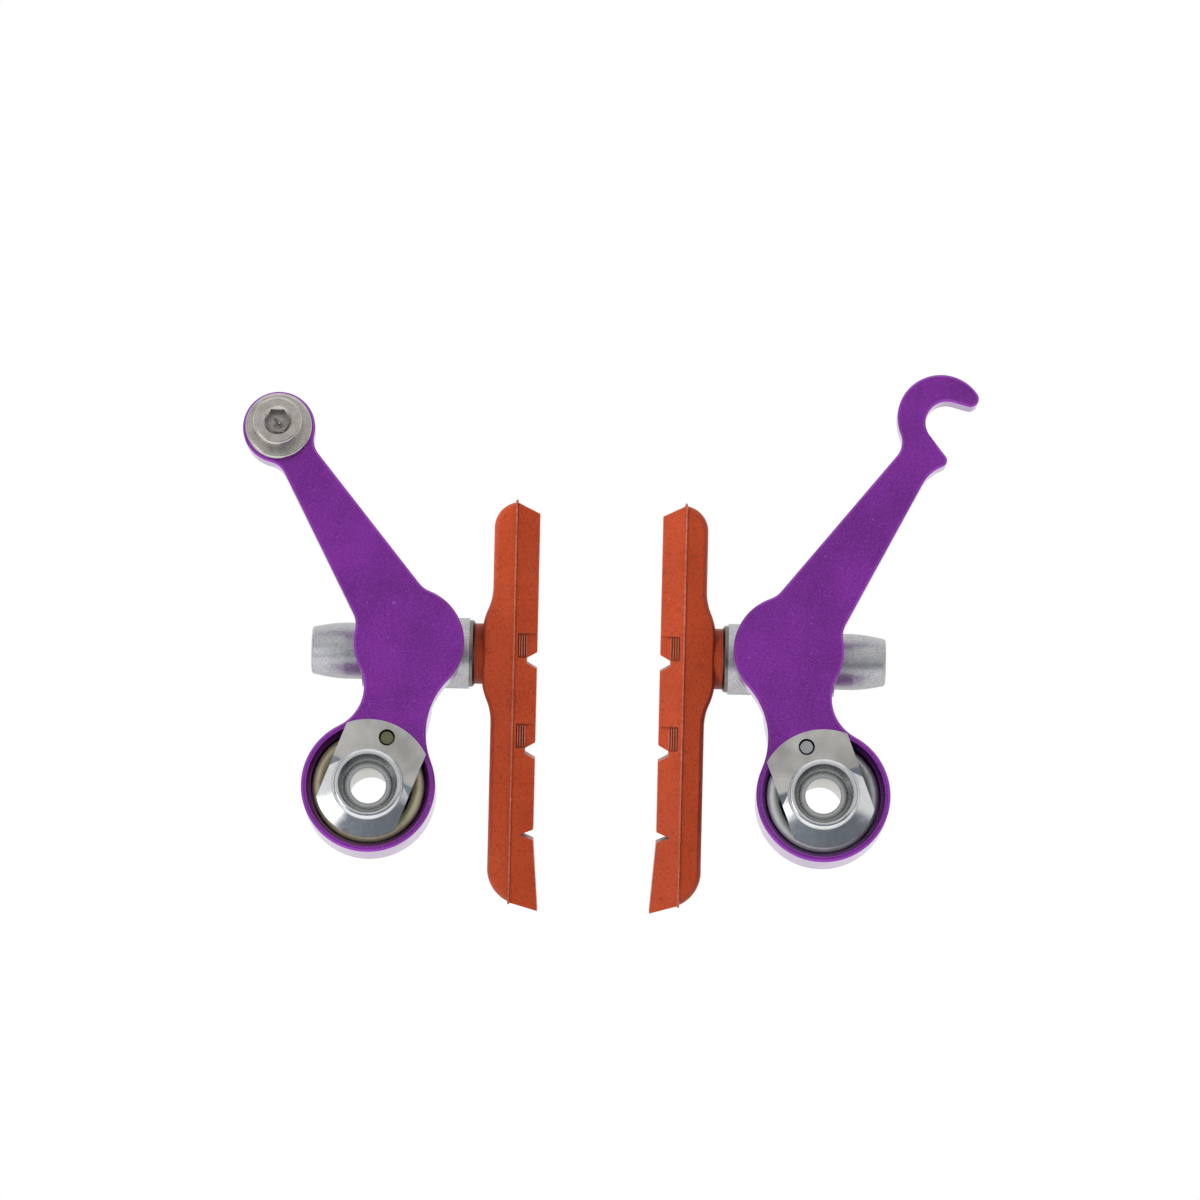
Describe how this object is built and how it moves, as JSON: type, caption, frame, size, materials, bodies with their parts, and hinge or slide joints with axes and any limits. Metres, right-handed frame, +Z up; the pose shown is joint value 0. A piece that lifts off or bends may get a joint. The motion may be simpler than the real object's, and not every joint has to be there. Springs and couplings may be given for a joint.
{
  "type": "cantilever brake",
  "caption": "Cantilever rim brake: mirrored tapered arms on pivot cups, ending in a cable hook and a cable clamp, with adjustable pads on ball-washer posts.",
  "frame": {"origin": "midway between the two stud axes, in the plane where the brake seats on the frame", "axes": "+X from the clamp arm to the hook arm, +Z up the arms, +Y along the stud bores towards the frame; the brake's front faces -Y"},
  "size_m": [0.1302, 0.0336, 0.0955],
  "materials": {
    "anodised_purple": "satin purple anodising with bright chamfers",
    "blasted_alloy": "bead-blasted",
    "polished_alloy": "turned and polished",
    "stainless_steel": "satin stainless",
    "dark_steel": "black oxide",
    "bush_steel": "ground",
    "yellow_zinc": "yellow-passivated zinc",
    "bright_spring": "bright drawn wire",
    "pad_rubber": "moulded matt brick-red rubber"
  },
  "bodies": {
    "pivots": {"left_pivot_bush": "bush_steel", "right_pivot_bush": "bush_steel"},
    "left_lever": {"left_arm": "anodised_purple", "cable_anchor_bolt": "stainless_steel", "cable_anchor_washer": "stainless_steel"},
    "left_tension": {"left_tension_cap": "polished_alloy", "left_return_spring": "yellow_zinc"},
    "left_pad_seat": {"left_inner_dome_washer": "dark_steel", "left_outer_dome_washer": "dark_steel"},
    "left_pad_cups": {"left_inner_cup_washer": "blasted_alloy", "left_outer_cup_washer": "blasted_alloy"},
    "left_pad": {"left_brake_pad": "pad_rubber", "left_pad_stud": "stainless_steel", "left_thin_washer": "stainless_steel", "left_pad_nut": "blasted_alloy"},
    "right_lever": {"right_arm": "anodised_purple"},
    "right_tension": {"right_tension_cap": "polished_alloy", "right_return_spring": "bright_spring"},
    "right_pad_seat": {"right_inner_dome_washer": "dark_steel", "right_outer_dome_washer": "dark_steel"},
    "right_pad_cups": {"right_inner_cup_washer": "blasted_alloy", "right_outer_cup_washer": "blasted_alloy"},
    "right_pad": {"right_brake_pad": "pad_rubber", "right_pad_stud": "stainless_steel", "right_thin_washer": "stainless_steel", "right_pad_nut": "blasted_alloy"}
  },
  "joints": [
    {"name": "left_arm_swing", "type": "hinge", "parent": "pivots", "child": "left_lever", "pos_m": [-0.04, 0, 0], "axis": [0, 1, 0], "range_deg": [-25, 6], "stiffness_Nm_per_rad": 1, "deforming": ["left_return_spring"]},
    {"name": "left_spring_tension", "type": "hinge", "parent": "pivots", "child": "left_tension", "pos_m": [-0.04, 0, 0], "axis": [0, 1, 0], "range_deg": [-30, 60], "deforming": ["left_return_spring"]},
    {"name": "left_pad_height", "type": "slide", "parent": "left_lever", "child": "left_pad_seat", "axis": [0, 0, 1], "range_m": [-0.0035, 0.0035]},
    {"name": "left_pad_toe", "type": "hinge", "parent": "left_pad_seat", "child": "left_pad_cups", "pos_m": [-0.0335, -0.0079, 0.02565], "axis": [0, 0, 1], "range_deg": [-6, 6]},
    {"name": "left_pad_turn", "type": "hinge", "parent": "left_pad_cups", "child": "left_pad", "pos_m": [-0.0335, -0.0079, 0.02565], "axis": [1, 0, 0], "continuous": true},
    {"name": "right_arm_swing", "type": "hinge", "parent": "pivots", "child": "right_lever", "pos_m": [0.04, 0, 0], "axis": [0, -1, 0], "range_deg": [-25, 6], "stiffness_Nm_per_rad": 1, "deforming": ["right_return_spring"]},
    {"name": "right_spring_tension", "type": "hinge", "parent": "pivots", "child": "right_tension", "pos_m": [0.04, 0, 0], "axis": [0, -1, 0], "range_deg": [-30, 60], "deforming": ["right_return_spring"]},
    {"name": "right_pad_height", "type": "slide", "parent": "right_lever", "child": "right_pad_seat", "axis": [0, 0, 1], "range_m": [-0.0035, 0.0035]},
    {"name": "right_pad_toe", "type": "hinge", "parent": "right_pad_seat", "child": "right_pad_cups", "pos_m": [0.0335, -0.0079, 0.02565], "axis": [0, 0, 1], "range_deg": [-6, 6]},
    {"name": "right_pad_turn", "type": "hinge", "parent": "right_pad_cups", "child": "right_pad", "pos_m": [0.0335, -0.0079, 0.02565], "axis": [1, 0, 0], "continuous": true}
  ]
}
